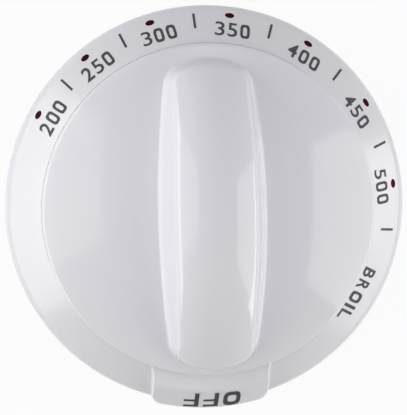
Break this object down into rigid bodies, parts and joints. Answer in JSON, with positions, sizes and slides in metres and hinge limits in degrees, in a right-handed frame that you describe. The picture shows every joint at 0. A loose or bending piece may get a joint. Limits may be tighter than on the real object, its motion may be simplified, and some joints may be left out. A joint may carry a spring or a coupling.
{
  "type": "oven control knob",
  "caption": "White oven thermostat knob with an arched grip bar on a domed face and a numbered skirt with an off tab that can be turned for calibration.",
  "frame": {"origin": "shaft axis in the plane of the rear rim", "axes": "+Z along the shaft axis towards the user, -Y towards the off tab"},
  "size_m": [0.07, 0.071, 0.0243],
  "materials": {
    "white_face_plastic": "gloss",
    "white_skirt_plastic": "gloss",
    "zinc_plated_steel": "satin",
    "screw_steel": "satin",
    "spring_steel": "satin"
  },
  "bodies": {
    "grip": {"grip_knob": "white_face_plastic", "clamp_plate": "zinc_plated_steel", "clamp_screws": "screw_steel", "shaft_clip": "spring_steel"},
    "skirt": {"dial_skirt": "white_skirt_plastic"}
  },
  "joints": [
    {"name": "dial_calibration", "type": "hinge", "parent": "grip", "child": "skirt", "pos_m": [0, 0, 0], "axis": [0, 0, 1], "range_deg": [-28.8, 28.8]}
  ]
}
